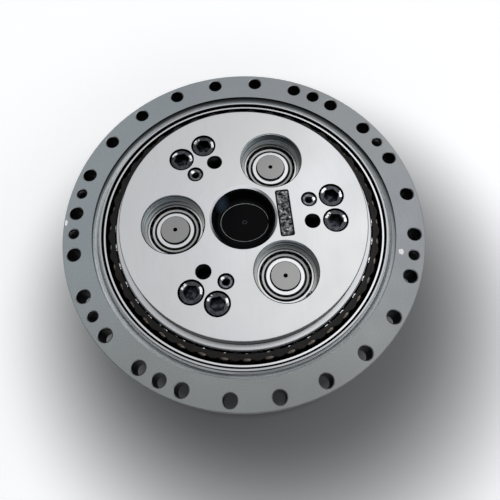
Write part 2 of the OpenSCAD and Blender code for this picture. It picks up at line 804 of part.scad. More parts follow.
module output_shaft() {
    seat = brg_id / 2;
    relief_r = gear_module * (gear_teeth / 2 + 1) + play;
    color("lightgray") difference() {
        union() {
            turned([
                [0, output_z], [output_r - edge_break, output_z], [output_r, output_z + edge_break],
                [output_r, inner_low_z - 1], [output_r - 1, inner_low_z], [seat, inner_low_z],
                [seat, shaft_top_z - edge_break], [seat - edge_break, shaft_top_z], [0, shaft_top_z]
            ]);
            for (a = pillar_angles) rotate([0, 0, a]) translate([0, 0, shaft_top_z - eps])
                linear_extrude(plate_low_z - shaft_top_z + eps) pillar_section(0);
        }
        rod(shaft_bore_d / 2, output_z - eps, shaft_top_z + eps);
        rod(pilot_d / 2, output_z - eps, output_z + pilot_depth);
        rod(shaft_bore_d / 2 + 4, output_z, output_z + pilot_depth + 6);
        around(crank_angles, crank_pcd / 2) {
            rod(well_r, low_cup_z, shaft_top_z + eps);
            rod(cup_race_r(0), pocket_low_z, low_cup_z + eps);
            rod(relief_r, gear_low_z - play, plate_low_z + eps);
        }
        clamp_bolt_places() rod(bolt_d / 2, plate_low_z - bolt_l + 8, plate_low_z + eps);
        taper_pin_places() taper_pin_body(fit);
        around([for (n = [0 : output_bolts - 1]) carrier_angle + (n + 0.5) * 360 / output_bolts],
               output_pcd / 2) {
            rod(output_hole_d / 2, output_z - eps, output_z + output_hole_depth);
            translate([0, 0, output_z - eps])
                cylinder(r1 = output_hole_d / 2 + edge_break + eps, r2 = output_hole_d / 2,
                         h = edge_break + eps);
        }
    }
}

module bore_cap() {
    rim_z = plate_top_z - bore_chamfer - 0.2;
    floor_z = face_z + 3.4;
    wall_r = bore_d / 2 - fit;
    color([0.05, 0.05, 0.07]) turned([
        [0, floor_z - 3], [wall_r - 1, floor_z - 3], [wall_r, floor_z - 2],
        [wall_r, rim_z - 0.6], [wall_r - 0.6, rim_z], [wall_r - 1.6, rim_z],
        [wall_r - 2.2, rim_z - 0.8], [wall_r - 4.4, floor_z + 2.6], [wall_r - 5.4, floor_z + 0.8],
        [wall_r - 7.4, floor_z], [0, floor_z]
    ]);
}

module shaft_plug() {
    low_z = output_z + pilot_depth + 0.5;
    high_z = output_z + pilot_depth + 6 - fit;
    plug_r = shaft_bore_d / 2 + 4 - fit;
    color("silver") turned([
        [0, high_z - 2.5], [plug_r - 6, high_z - 2.5], [plug_r - 3, low_z],
        [plug_r, low_z], [plug_r, high_z], [0, high_z]
    ]);
}

case();
ring_pins();
outer_ring_upper();
outer_ring_lower();
oil_seal();
hold_flange();
output_shaft();
clamp_bolts();
taper_pins();
snap_rings();
crank_cups_upper();
crank_cups_lower();
inner_ring_upper();
inner_ring_lower();
bore_cap();
shaft_plug();
balls_upper();
ball_cage_upper();
balls_lower();
ball_cage_lower();
disc_upper();
disc_lower();
for (n = [1 : 3]) crankshaft(n);
for (n = [1 : 3]) spur_gear(n);
for (n = [1 : 3]) crank_cone_upper(n);
for (n = [1 : 3]) crank_cone_lower(n);
for (n = [1 : 3]) taper_rollers(n);
for (n = [1 : 3]) taper_cages(n);
for (n = [1 : 3]) needle_rollers_upper(n);
for (n = [1 : 3]) needle_rollers_lower(n);
for (n = [1 : 3]) needle_cage_upper(n);
for (n = [1 : 3]) needle_cage_lower(n);
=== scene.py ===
import math

import bmesh
import bpy
from mathutils import Matrix, Vector
from mathutils.noise import noise as lumpy


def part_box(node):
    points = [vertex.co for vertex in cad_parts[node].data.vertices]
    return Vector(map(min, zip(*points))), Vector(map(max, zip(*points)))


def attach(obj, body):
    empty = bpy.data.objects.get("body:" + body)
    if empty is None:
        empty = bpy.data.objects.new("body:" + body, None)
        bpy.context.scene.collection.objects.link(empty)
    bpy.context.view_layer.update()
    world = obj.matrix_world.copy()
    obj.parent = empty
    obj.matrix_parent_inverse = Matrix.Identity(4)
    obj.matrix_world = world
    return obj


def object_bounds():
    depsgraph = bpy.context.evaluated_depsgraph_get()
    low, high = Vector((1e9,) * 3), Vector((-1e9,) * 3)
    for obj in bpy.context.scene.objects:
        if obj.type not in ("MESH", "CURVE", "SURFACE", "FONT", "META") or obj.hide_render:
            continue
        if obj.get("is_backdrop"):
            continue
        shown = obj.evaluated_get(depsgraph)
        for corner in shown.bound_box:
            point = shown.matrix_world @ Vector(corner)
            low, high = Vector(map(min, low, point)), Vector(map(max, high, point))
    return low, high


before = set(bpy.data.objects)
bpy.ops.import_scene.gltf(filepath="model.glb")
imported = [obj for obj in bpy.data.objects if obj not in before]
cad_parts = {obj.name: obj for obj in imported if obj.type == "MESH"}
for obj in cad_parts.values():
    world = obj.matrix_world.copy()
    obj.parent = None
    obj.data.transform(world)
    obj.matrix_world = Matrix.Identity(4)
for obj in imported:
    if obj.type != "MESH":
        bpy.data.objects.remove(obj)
solid_low, solid_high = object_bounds()

# ---- Camera ----
# It stands in front of and high above the reducer, which lies with its output side down. A plain
# lens, a little wide, makes the near side of the flange the larger one.
sensor_mm, lens_mm = 36, 34.747
camera_place = (-0.003324, -0.19262, 0.48678)
camera_turn = (19.697, 0.303, -3.611)
nearest_seen = 0.01

camera = bpy.data.objects.new("camera", bpy.data.cameras.new("camera"))
camera.data.sensor_width = sensor_mm
camera.data.lens = lens_mm
camera.data.clip_start = nearest_seen
camera.location = camera_place
camera.rotation_euler = [math.radians(angle) for angle in camera_turn]
bpy.context.scene.collection.objects.link(camera)
bpy.context.scene.camera = camera
bpy.context.scene.view_settings.view_transform = "Standard"

# ---- Studio ----
# A pale sheet with a painted shadow, grey under and beside the reducer, and a wide soft lamp overhead.
# The room is bright above and behind, dark in front, and has one long low window at the front right.
sheet_radius = 3.0
sheet_drop = 0.0005
under_inner, under_outer = 0.174, 0.190
shade_middle = (0.035, -0.055, 0.0)
shade_inner, shade_outer = 0.15, 0.35
camera_lift = 0.34
lamp_width, lamp_power = 1.3, 2.0
lamp_place = (0.55, 0.45, 1.45)


def shader(name, roughness, metallic=0.0, **settings):
    """A new material, its node tree and its surface shader."""
    made = bpy.data.materials.new(name)
    made.use_nodes = True
    surface = made.node_tree.nodes["Principled BSDF"]
    surface.inputs["Roughness"].default_value = roughness
    surface.inputs["Metallic"].default_value = metallic
    for socket, value in settings.items():
        surface.inputs[socket.replace("_", " ")].default_value = value
    return made, made.node_tree, surface


def put(tree, kind, inputs=(), **settings):
    """A node with its settings; inputs are values or other nodes' outputs, in order."""
    node = tree.nodes.new(kind)
    for key, value in settings.items():
        setattr(node, key, value)
    for place, value in enumerate(inputs):
        if isinstance(value, bpy.types.NodeSocket):
            tree.links.new(value, node.inputs[place])
        elif value is not None:
            node.inputs[place].default_value = value
    return node


def maths(tree, operation, *values):
    """One Math node's output."""
    return put(tree, "ShaderNodeMath", values, operation=operation).outputs[0]


def both(tree, first, second):
    """Where two masks overlap, or a mask at part of its strength."""
    return maths(tree, "MULTIPLY", first, second)


def vectors(tree, operation, *values):
    """One Vector Math node's output: a number for a length or distance, else a vector."""
    node = put(tree, "ShaderNodeVectorMath", values, operation=operation)
    return node.outputs["Value" if operation in ("LENGTH", "DISTANCE", "DOT_PRODUCT") else "Vector"]


def ramp(tree, value, low, high, first=0.0, last=1.0, **settings):
    """Goes from one number to another as a value goes from low to high, and stays there."""
    return put(tree, "ShaderNodeMapRange", (value, low, high, first, last), **settings).outputs[0]


def between(tree, value, low, high, soft):
    """1 where a value lies between two others, fading over soft at each end."""
    return both(tree, ramp(tree, value, low - soft, low), ramp(tree, value, high, high + soft, 1.0, 0.0))


def noise(tree, vector, scale, detail=3.0, roughness=0.5):
    """Noise from 0 to 1."""
    return put(tree, "ShaderNodeTexNoise", (vector, None, scale, detail, roughness)).outputs[0]


def blend(tree, amount, first, second, how="MIX"):
    """Two colours mixed."""
    node = put(tree, "ShaderNodeMix", data_type="RGBA", blend_type=how)
    for socket, value in (("Factor_Float", amount), ("A_Color", first), ("B_Color", second)):
        target = next(i for i in node.inputs if i.identifier == socket)
        if isinstance(value, bpy.types.NodeSocket):
            tree.links.new(value, target)
        else:
            target.default_value = value if socket == "Factor_Float" else (*value, 1.0)
    return next(o for o in node.outputs if o.identifier == "Result_Color")


def own_place(tree):
    """Each point's place on the reducer, in metres."""
    return put(tree, "ShaderNodeTexCoord").outputs["Object"]


def flat(tree, place):
    """A place brought down to the level of the origin."""
    return vectors(tree, "MULTIPLY", place, (1.0, 1.0, 0.0))


sheet_finish, tree, surface = shader("studio_sheet", roughness=0.9, Specular_IOR_Level=0.1)
where = own_place(tree)
# The grey under and beside the reducer, centred a little to the front right, is a painted shadow.
open_sheet = ramp(tree, vectors(tree, "DISTANCE", flat(tree, where), shade_middle),
                  shade_inner, shade_outer, interpolation_type="SMOOTHSTEP")
beside = ramp(tree, vectors(tree, "LENGTH", flat(tree, where)), under_inner, under_outer)
grey = blend(tree, beside, (0.080, 0.081, 0.083), (0.20, 0.202, 0.205))
white = blend(tree, noise(tree, where, scale=3.0), (0.90, 0.905, 0.91), (0.94, 0.94, 0.94))
paper = blend(tree, open_sheet, grey, white)
tree.links.new(paper, surface.inputs["Base Color"])
seen = put(tree, "ShaderNodeLightPath").outputs["Is Camera Ray"]
glow = both(tree, seen, maths(tree, "POWER", open_sheet, 2.0))
tree.links.new(paper, surface.inputs["Emission Color"])
tree.links.new(both(tree, glow, camera_lift), surface.inputs["Emission Strength"])
mesh = bpy.data.meshes.new("studio_sheet")
bm = bmesh.new()
bmesh.ops.create_circle(bm, cap_ends=True, segments=96, radius=sheet_radius,
                        matrix=Matrix.Translation((0, 0, solid_low.z - sheet_drop)))
bm.to_mesh(mesh)
bm.free()
mesh.materials.append(sheet_finish)
sheet = bpy.data.objects.new("studio_sheet", mesh)
bpy.context.scene.collection.objects.link(sheet)
sheet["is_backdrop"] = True

lamp = bpy.data.lights.new("lamp_over", "AREA")
lamp.shape = "DISK"
lamp.size = lamp_width
lamp.energy = lamp_power
stand = bpy.data.objects.new("lamp_over", lamp)
stand.location = lamp_place
stand.rotation_euler = (-stand.location).to_track_quat("-Z", "Y").to_euler()
bpy.context.scene.collection.objects.link(stand)

world = bpy.data.worlds.new("studio")
world.use_nodes = True
bpy.context.scene.world = world
tree = world.node_tree
facing = put(tree, "ShaderNodeTexCoord").outputs["Generated"]
overhead = ramp(tree, vectors(tree, "DOT_PRODUCT", facing, (0.38, -0.05, 0.925)), 0.0, 1.0, 0.38, 1.0)
behind = ramp(tree, vectors(tree, "DOT_PRODUCT", facing, (0.0, 1.0, 0.0)), -0.46, 0.08, 0.08, 1.0,
              interpolation_type="SMOOTHSTEP")
room = blend(tree, both(tree, overhead, behind), (0.07, 0.072, 0.078), (1.0, 1.005, 1.02))
low_down = between(tree, vectors(tree, "DOT_PRODUCT", facing, (0.0, 0.0, 1.0)), 0.38, 0.60, soft=0.08)
front_right = between(tree, vectors(tree, "DOT_PRODUCT", facing, (0.60, -0.80, 0.0)), 0.28, 1.0,
                      soft=0.12)
room = blend(tree, both(tree, low_down, front_right), room, (1.55, 1.57, 1.62))
tree.links.new(room, tree.nodes["Background"].inputs["Color"])
tree.nodes["Background"].inputs["Strength"].default_value = 1.0

# ---- Case ----
# One forging, turned inside and out and ground on the flange: a blue-grey satin with hole walls
# painted dark as shade, bright chamfers where the drills came later, and a brushed ring groove.
face_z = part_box("case")[1].z
far = 1.0
hole_circle = 0.174
screw_hole, jack_hole = 0.00675, 0.0051
case_bore = 0.1458
groove_inner, groove_outer, groove_floor_z = 0.1477, 0.1553, 0.0240
slope_inner = 0.1502
wall_middle, body_radius = 0.150, 0.163


def along(tree, place, axis):
    """One coordinate of a place."""
    return put(tree, "ShaderNodeSeparateXYZ", (place,)).outputs[axis]


def flat_distance(tree, where, places=((0.0, 0.0),)):
    """Distance to the nearest of several upright axes."""
    level = flat(tree, where)
    nearest = None
    for x, y in places:
        gap = vectors(tree, "DISTANCE", level, (x, y, 0.0))
        nearest = gap if nearest is None else maths(tree, "MINIMUM", nearest, gap)
    return nearest


def turned_streaks(tree, where, radius, height, fineness):
    """Noise drawn out along the circles that a lathe or a grinding wheel leaves."""
    around = vectors(tree, "MULTIPLY", where, (9.0, 9.0, 0.0))
    outwards = both(tree, maths(tree, "ADD", radius, height), fineness)
    across = put(tree, "ShaderNodeCombineXYZ", (0.0, 0.0, outwards)).outputs[0]
    return noise(tree, vectors(tree, "ADD", around, across), scale=1.0, detail=4.0, roughness=0.6)


def bumped(tree, surface, height, distance):
    """Sets a surface's bump."""
    bump = put(tree, "ShaderNodeBump", (1.0, distance))
    tree.links.new(height, bump.inputs["Height"])
    tree.links.new(bump.outputs["Normal"], surface.inputs["Normal"])


class Steel:
    """Cut steel with lathe or grinding lines about one or several axes, and slow oily clouds."""

    def __init__(self, name, deep, pale, roughness, axes=((0.0, 0.0),), fineness=2600.0,
                 relief=0.00001):
        self.made, self.tree, self.surface = shader(name, roughness, metallic=1.0)
        tree = self.tree
        self.where = own_place(tree)
        self.radius = flat_distance(tree, self.where, axes)
        self.height = along(tree, self.where, "Z")
        self.streaks = turned_streaks(tree, self.where, self.radius, self.height, fineness)
        cloud = noise(tree, self.where, scale=16.0, detail=2.0)
        lines = ramp(tree, self.streaks, 0.3, 0.7, 0.15, 0.85)
        mixed = maths(tree, "ADD", both(tree, lines, 0.6), both(tree, cloud, 0.4))
        self.colour = blend(tree, mixed, deep, pale)
        tree.links.new(ramp(tree, cloud, 0.3, 0.7, roughness * 0.85, roughness * 1.2),
                       self.surface.inputs["Roughness"])
        bumped(tree, self.surface, self.streaks, relief)

    def paint(self, mask, colour):
        """Colours what a mask covers."""
        self.colour = blend(self.tree, mask, self.colour, colour)

    def band(self, value, low, high, colour, soft=0.0001, within=None):
        """Colours what lies between two values, inside another mask if one is given."""
        mask = between(self.tree, value, low, high, soft)
        self.paint(mask if within is None else both(self.tree, mask, within), colour)

    def onto(self, *names):
        """Finishes the material and puts it in the slot of every named solid."""
        self.tree.links.new(self.colour, self.surface.inputs["Base Color"])
        for name in names:
            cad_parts[name].data.materials[0] = self.made


def ring_of(angles, radius):
    """Points on a circle."""
    return [(radius * math.cos(math.radians(a)), radius * math.sin(math.radians(a))) for a in angles]


screw_holes = ring_of([7.5 * n for n in range(1, 48, 2)] + [60, 240], hole_circle)
jack_holes = ring_of([30, 165, 180, 210, 345], hole_circle)

case = Steel("ground_case_steel", deep=(0.235, 0.26, 0.26), pale=(0.315, 0.325, 0.335),
             roughness=0.40, relief=0.00002)
tree = case.tree
mottle = noise(tree, case.where, scale=9.0)
case.paint(ramp(tree, mottle, 0.35, 0.65, 0.0, 0.55), (0.275, 0.285, 0.305))
# The -X side of the flange is painted paler and bluer as painted light.
painted_light_side = ramp(tree, along(tree, case.where, "X"), -0.17, 0.10, 1.0, 0.0)
case.paint(both(tree, painted_light_side, 0.7), (0.355, 0.405, 0.430))
# The -Y side of the flange is painted darker and greener as painted shade.
painted_shade_side = ramp(tree, along(tree, case.where, "Y"), -0.16, -0.03, 0.75, 0.0)
case.paint(painted_shade_side, (0.255, 0.262, 0.252))
pits = noise(tree, case.where, scale=700.0, detail=2.0)
case.paint(ramp(tree, pits, 0.5, 0.75, 0.0, 0.35), (0.17, 0.18, 0.19))

# The groove is brushed, and its outer slope is painted brighter as a painted sheen. Painted shade
# darkens the slope against the outer wall on the +Y half, and a thin line of it runs along the inner
# wall.
in_groove = both(tree, between(tree, case.radius, groove_inner, groove_outer, 0.0002),
                 between(tree, case.height, groove_floor_z, face_z - 0.0004, 0.0002))
brushed = blend(tree, ramp(tree, case.streaks, 0.35, 0.65), (0.14, 0.155, 0.165), (0.60, 0.62, 0.63))
grit = blend(tree, noise(tree, case.where, scale=520.0, detail=4.0, roughness=0.7),
             (0.55, 0.55, 0.55), (1.25, 1.25, 1.25))
brushed = blend(tree, 1.0, brushed, grit, "MULTIPLY")
case.paint(in_groove, brushed)
# The outer slope is painted brighter than the brushed floor, a painted sheen.
on_slope = both(tree, in_groove, between(tree, case.radius, slope_inner, groove_outer + 0.0003, 0.0004))
case.paint(on_slope, blend(tree, 1.0, brushed, (2.3, 2.35, 2.35), "MULTIPLY"))
# Along the outer wall on the +Y half the slope is painted dark as shade.
painted_shade_half = ramp(tree, along(tree, case.where, "Y"), -0.10, 0.06)
case.band(case.radius, groove_outer - 0.0015, groove_outer + 0.0003, (0.060, 0.064, 0.066),
          soft=0.0036, within=both(tree, in_groove, painted_shade_half))
slope_top = between(tree, case.height, face_z - 0.0026, face_z - 0.0002, 0.0001)
case.band(case.radius, groove_outer - 0.0007, groove_outer + 0.0003, (0.03, 0.032, 0.034),
          within=both(tree, painted_shade_half, slope_top))
# A dark line of painted shade runs along the groove's inner wall.
case.band(case.radius, groove_inner - 0.0002, groove_inner + 0.0003, (0.04, 0.042, 0.045),
          within=between(tree, case.height, groove_floor_z, face_z - 0.0010, 0.0002))
case.band(case.radius, case_bore + 0.0001, groove_inner - 0.0003, (0.50, 0.51, 0.53),
          within=between(tree, case.height, face_z - 0.0007, face_z + 0.0010, 0.0003))

near_screw = flat_distance(tree, case.where, screw_holes)
near_jack = flat_distance(tree, case.where, jack_holes)
mouths = between(tree, case.height, face_z - 0.0012, face_z + 0.0010, 0.0002)
case.band(near_screw, screw_hole - 0.00005, screw_hole + 0.0010, (0.33, 0.345, 0.35), within=mouths)
case.band(near_jack, jack_hole, jack_hole + 0.0010, (0.30, 0.31, 0.32), within=mouths)
walls = between(tree, case.height, 0.0008, face_z - 0.0010, 0.0003)
# The walls of the screw and jacking holes are painted near black as shade.
case.band(near_screw, -far, screw_hole + 0.00015, (0.020, 0.020, 0.022), within=walls)
case.band(near_jack, -far, jack_hole + 0.0002, (0.025, 0.025, 0.028), within=walls)
case.band(case.height, -far, -0.0004, (0.16, 0.17, 0.18), soft=0.0003,
          within=between(tree, case.radius, wall_middle, body_radius + 0.0010, 0.0004))
case.band(case.radius, -far, case_bore, (0.020, 0.019, 0.018),
          within=between(tree, case.height, -0.0785, face_z + 0.0002, 0.0001))

outside = both(tree, between(tree, case.radius, wall_middle, far, 0.0002),
               between(tree, case.height, -far, face_z - 0.0010, 0.0006))
outside = both(tree, outside, ramp(tree, near_screw, screw_hole + 0.00085, screw_hole + 0.00165))
turned = turned_streaks(tree, case.where, case.radius, case.height, fineness=330.0)
marks = blend(tree, ramp(tree, turned, 0.35, 0.65), (0.82, 0.82, 0.83), (1.12, 1.12, 1.11))
case.paint(outside, blend(tree, 1.0, case.colour, marks, "MULTIPLY"))
case.onto("case")


def thread(bm, x, y, wall, low, high, pitch, depth):
    """A helical ridge on the wall of an upright hole, from one height to another."""
    turns = int((high - low) / pitch) - 1
    steps = 24
    corners = [bm.verts.new((x + wall, y, low)),
               bm.verts.new((x + wall - depth, y, low + pitch * 0.44)),
               bm.verts.new((x + wall - depth, y, low + pitch * 0.56)),
               bm.verts.new((x + wall, y, low + pitch))]
    sides = [bm.edges.new(pair) for pair in zip(corners, corners[1:])]
    bmesh.ops.spin(bm, geom=corners + sides, cent=(x, y, 0), axis=(0, 0, 1),
                   dvec=(0, 0, pitch / steps), angle=math.tau * turns, steps=steps * turns,
                   use_merge=False, use_duplicate=False)


def piece(name, bm, material, body, smooth=False):
    """Turns a finished bmesh into a piece that moves with a body."""
    mesh = bpy.data.meshes.new(name)
    bm.to_mesh(mesh)
    bm.free()
    mesh.materials.append(material)
    if smooth:
        mesh.shade_smooth()
    made = bpy.data.objects.new(name, mesh)
    bpy.context.scene.collection.objects.link(made)
    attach(made, body)


def threads(name, places, wall, low, high, pitch, depth, material, body):
    """The same internal thread in several holes, its faces turned towards each hole's middle."""
    sunk = 0.00002
    bm = bmesh.new()
    for x, y in places:
        thread(bm, x, y, wall - sunk, low, high, pitch, depth)
    bm.normal_update()
    away = []
    for f in bm.faces:
        middle = f.calc_center_median()
        x, y = min(places, key=lambda p: math.dist(p, middle[:2]))
        if f.normal.dot(Vector((middle.x - x, middle.y - y, 0))) > 0:
            away.append(f)
    bmesh.ops.reverse_faces(bm, faces=away)
    piece(name, bm, material, body)


oily_thread = Steel("oiled_thread_steel", deep=(0.05, 0.05, 0.055), pale=(0.26, 0.265, 0.27),
                    roughness=0.26, axes=jack_holes, fineness=900.0)
oily_thread.onto()
threads("jacking_threads", jack_holes, wall=jack_hole, low=0.0012, high=0.0286, pitch=0.00175,
        depth=0.0006, material=oily_thread.made, body="case")

# ---- Paint marks ----
# Two dabs of white marking paint that the assembler's brush left on the flange, one beside a
# screw hole and a thin one at the rim. They are a little uneven.
paint, tree, surface = shader("white_marking_paint", roughness=0.55)
dry = noise(tree, own_place(tree), scale=900.0)
tree.links.new(blend(tree, dry, (0.90, 0.90, 0.90), (0.96, 0.96, 0.96)), surface.inputs["Base Color"])
bumped(tree, surface, dry, 0.00006)
for name, angle, radius, size in (("paint_mark_face", 345.3, 0.1610, (0.0023, 0.0028, 0.00010)),
                                  ("paint_mark_edge", 176.1, 0.1825, (0.0012, 0.0031, 0.00008))):
    bm = bmesh.new()
    bmesh.ops.create_uvsphere(bm, u_segments=32, v_segments=16, radius=1.0)
    bmesh.ops.bisect_plane(bm, geom=bm.verts[:] + bm.edges[:] + bm.faces[:], dist=1e-5,
                           plane_co=(0, 0, 0), plane_no=(0, 0, -1), clear_outer=True)
    for v in bm.verts:
        wave = 1.0 + 0.10 * math.sin(3.1 * v.co.y + 1.0)
        v.co.x = math.copysign(abs(v.co.x) ** 0.6, v.co.x) * wave
        v.co.y = math.copysign(abs(v.co.y) ** 0.6, v.co.y) * (1.0 + 0.08 * math.sin(5.0 * v.co.x))
    bmesh.ops.scale(bm, vec=size, verts=bm.verts)
    bmesh.ops.rotate(bm, matrix=Matrix.Rotation(math.radians(-4), 3, "Z"), verts=bm.verts)
    bmesh.ops.translate(bm, vec=(*ring_of([angle], radius)[0], face_z), verts=bm.verts)
    piece(name, bm, paint, "case", smooth=True)

# ---- Ring pins ----
# Forty hardened pins of bearing steel lie loose in half-round grooves of the case. They are
# ground all over and wet with oil.
pins = Steel("ground_pin_steel", deep=(0.40, 0.41, 0.42), pale=(0.58, 0.59, 0.60), roughness=0.18,
             fineness=4000.0, relief=0.000003)
pins.onto("ring_pins")

# ---- Main bearing rings ----
# The two outer rings sit in the case and the two inner rings on the carrier. Their faces are
# ground bright; the seams and the shoulders are painted dark as shade, and the ball tracks are darker.
outer = Steel("ground_outer_race_steel", deep=(0.56, 0.57, 0.58), pale=(0.72, 0.73, 0.74),
              roughness=0.22, fineness=3600.0, relief=0.000006)
# The outer edge and the counterbore of each outer ring are painted dark as shade.
outer.band(outer.radius, 0.1438, far, (0.010, 0.010, 0.011))
outer.band(outer.radius, -far, 0.1420, (0.030, 0.028, 0.026))
outer.band(outer.height, -0.0481, 0.0270, (0.050, 0.046, 0.042), soft=0.0002)
outer.onto("outer_ring_upper", "outer_ring_lower")

shoulder_radius = 0.1299
inner = Steel("ground_inner_race_steel", deep=(0.44, 0.45, 0.465), pale=(0.60, 0.61, 0.62),
              roughness=0.28, fineness=3600.0, relief=0.000006)
# A dark line of painted shadow lies on the inner ring where the hold flange steps over it.
inner.band(inner.radius, -far, 0.12395, (0.03, 0.03, 0.03), soft=0.00015)
inner.band(inner.radius, shoulder_radius, far, (0.92, 0.92, 0.92), soft=0.00005)
honed = ramp(inner.tree, inner.radius, shoulder_radius - 0.0007, shoulder_radius, 0.28, 0.07)
inner.tree.links.new(honed, inner.surface.inputs["Roughness"])
inner.band(inner.height, -0.0484, 0.0262, (0.060, 0.055, 0.050), soft=0.0003)
inner.onto("inner_ring_upper", "inner_ring_lower")

# ---- Balls and ball cages ----
# Forty polished chrome steel balls a bearing, in a moulded cage of near-black brown resin. Both
# carry a film of dark oil that gathers in streaks.
ball_circle = 0.1345
ball = Steel("polished_ball_steel", deep=(0.46, 0.43, 0.40), pale=(0.80, 0.78, 0.75),
             roughness=0.06, fineness=300.0, relief=0.000004)
# Each ball is painted darker on its outer side as painted shade and near white on its inner side as a
# painted highlight.
ball.band(ball.radius, ball_circle, far, (0.20, 0.175, 0.15), soft=0.0012)
ball.band(ball.radius, ball_circle + 0.0038, far, (0.03, 0.025, 0.022), soft=0.0012)
ball.band(ball.radius, -far, ball_circle - 0.0015, (0.95, 0.95, 0.95), soft=0.0004)
oiled = ramp(ball.tree, ball.radius, ball_circle - 0.0010, ball_circle + 0.0005, 0.06, 0.40)
ball.tree.links.new(oiled, ball.surface.inputs["Roughness"])
ball.onto("balls_upper", "balls_lower")

cage, tree, surface = shader("oiled_cage_resin", roughness=0.28, Specular_IOR_Level=0.16)
where = own_place(tree)
fibres = noise(tree, vectors(tree, "MULTIPLY", where, (1.0, 1.0, 3.0)), scale=260.0, detail=4.0)
film = noise(tree, where, scale=60.0)
brown = blend(tree, fibres, (0.003, 0.0028, 0.0026), (0.014, 0.0115, 0.0105))
brown = blend(tree, ramp(tree, film, 0.55, 0.75, 0.0, 0.5), brown, (0.034, 0.028, 0.024))
tree.links.new(brown, surface.inputs["Base Color"])
tree.links.new(ramp(tree, film, 0.3, 0.7, 0.16, 0.42), surface.inputs["Roughness"])
bumped(tree, surface, film, 0.00012)
for name in ("ball_cage_upper", "ball_cage_lower"):
    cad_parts[name].data.materials[0] = cage

# A thin lip, scalloped between the balls, runs round the top of the upper cage. The lower one is
# turned over. It lies 2 mm in from the foot of its cage, so it cuts into the balls there.
back_radius, back_z = 0.13660, 0.02836
back_width, back_thick, back_corner = 0.0029, 0.0011, 0.0003
balls_each = 40
ball_lead = math.radians(2.2)
turned_over = -0.0414
for side in ("upper", "lower"):
    bm = bmesh.new()
    bmesh.ops.create_grid(bm, x_segments=1, y_segments=1, size=0.5)
    bmesh.ops.scale(bm, vec=(back_width, back_thick, 1.0), verts=bm.verts)
    bmesh.ops.bevel(bm, geom=bm.verts[:], affect="VERTICES", segments=3, offset=back_corner,
                    profile=0.5, material=-1)
    bmesh.ops.rotate(bm, matrix=Matrix.Rotation(math.radians(90), 3, "X"), verts=bm.verts)
    bmesh.ops.translate(bm, vec=(back_radius, 0, back_z), verts=bm.verts)
    outline = bm.edges[:]
    bmesh.ops.delete(bm, geom=bm.faces[:], context="FACES_ONLY")
    bmesh.ops.spin(bm, geom=bm.verts[:] + outline, cent=(0, 0, 0), axis=(0, 0, 1),
                   dvec=(0, 0, 0), angle=math.tau, steps=240, use_merge=True, use_duplicate=False)
    for v in bm.verts:
        lobe = math.cos(balls_each * (math.atan2(v.co.y, v.co.x) + ball_lead))
        out = math.hypot(v.co.x, v.co.y)
        if out > back_radius:
            v.co.xy *= (out - 0.0008 - 0.0016 * lobe) / out
        v.co.z += 0.00012 * lobe
        if side == "lower":
            v.co.z = turned_over - v.co.z
    bmesh.ops.remove_doubles(bm, verts=bm.verts, dist=0.000002)
    bmesh.ops.recalc_face_normals(bm, faces=bm.faces)
    piece(f"cage_back_{side}", bm, cage, f"ball_set_{side}", smooth=True)

# ---- Oil seal ----
# A moulded ring of black nitrile rubber pressed into the foot of the case. Its outside is matt
# and its two lips are smoother where they run on the output side.
rubber, tree, surface = shader("nitrile_seal_rubber", roughness=0.55)
where = own_place(tree)
bloom = noise(tree, where, scale=45.0, detail=4.0)
tree.links.new(blend(tree, bloom, (0.016, 0.015, 0.014), (0.040, 0.038, 0.036)),
               surface.inputs["Base Color"])
lips = flat_distance(tree, where)
tree.links.new(ramp(tree, lips, 0.1285, 0.133, 0.28, 0.62), surface.inputs["Roughness"])
bumped(tree, surface, noise(tree, where, scale=1400.0, detail=2.0), 0.00003)
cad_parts["oil_seal"].data.materials[0] = rubber

# ---- Hold flange ----
# The pale disc that clamps the carrier together: steel, ground on top with faint cloudy arcs,
# bored for the cranks, and drilled and counterbored for three groups of bolts and pins.
carrier_angle = 2.65
crank_circle, bolt_circle, pin_circle = 0.070, 0.0914, 0.0685
bolt_spread, pin_spread = 8.6, 10
pillars = [carrier_angle + 120 * n for n in range(3)]
crank_axes = ring_of([angle + 60 for angle in pillars], crank_circle)
bolt_axes = ring_of([angle + s for angle in pillars for s in (-bolt_spread, bolt_spread)], bolt_circle)
pin_axes = ring_of([angle + pin_spread for angle in pillars], pin_circle)
lift_axes = ring_of([angle - pin_spread for angle in pillars], pin_circle)
plate_top_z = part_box("hold_flange")[1].z
well_radius, plate_bore = 0.031, 0.032
snap_groove_low, snap_groove_high = 0.0311, 0.0334

plate = Steel("ground_plate_steel", deep=(0.575, 0.585, 0.605), pale=(0.655, 0.66, 0.67),
              roughness=0.34, fineness=1400.0, relief=0.000004)
tree = plate.tree
tint = noise(tree, plate.where, scale=13.0, detail=2.0)
plate.paint(ramp(tree, tint, 0.35, 0.65, 0.0, 0.5), (0.635, 0.645, 0.625))
swirl = noise(tree, vectors(tree, "MULTIPLY", plate.where, (40.0, 7.0, 1.0)), scale=3.0, detail=4.0,
              roughness=0.6)
plate.paint(ramp(tree, swirl, 0.5, 0.75, 0.0, 0.3), (0.56, 0.56, 0.59))

# The wells were bored with a coarse feed. Their walls are painted darker on the +X, -Y side and
# paler on the other as painted light, and painted shade darkens the mouths, the snap ring's groove
# and the smaller holes.
below = between(tree, plate.height, -far, plate_top_z - 0.0003, 0.0002)
well = flat_distance(tree, plate.where, crank_axes)
feed = turned_streaks(tree, plate.where, well, plate.height, fineness=420.0)
bored = blend(tree, ramp(tree, feed, 0.42, 0.58), (0.045, 0.055, 0.06), (0.48, 0.53, 0.56))
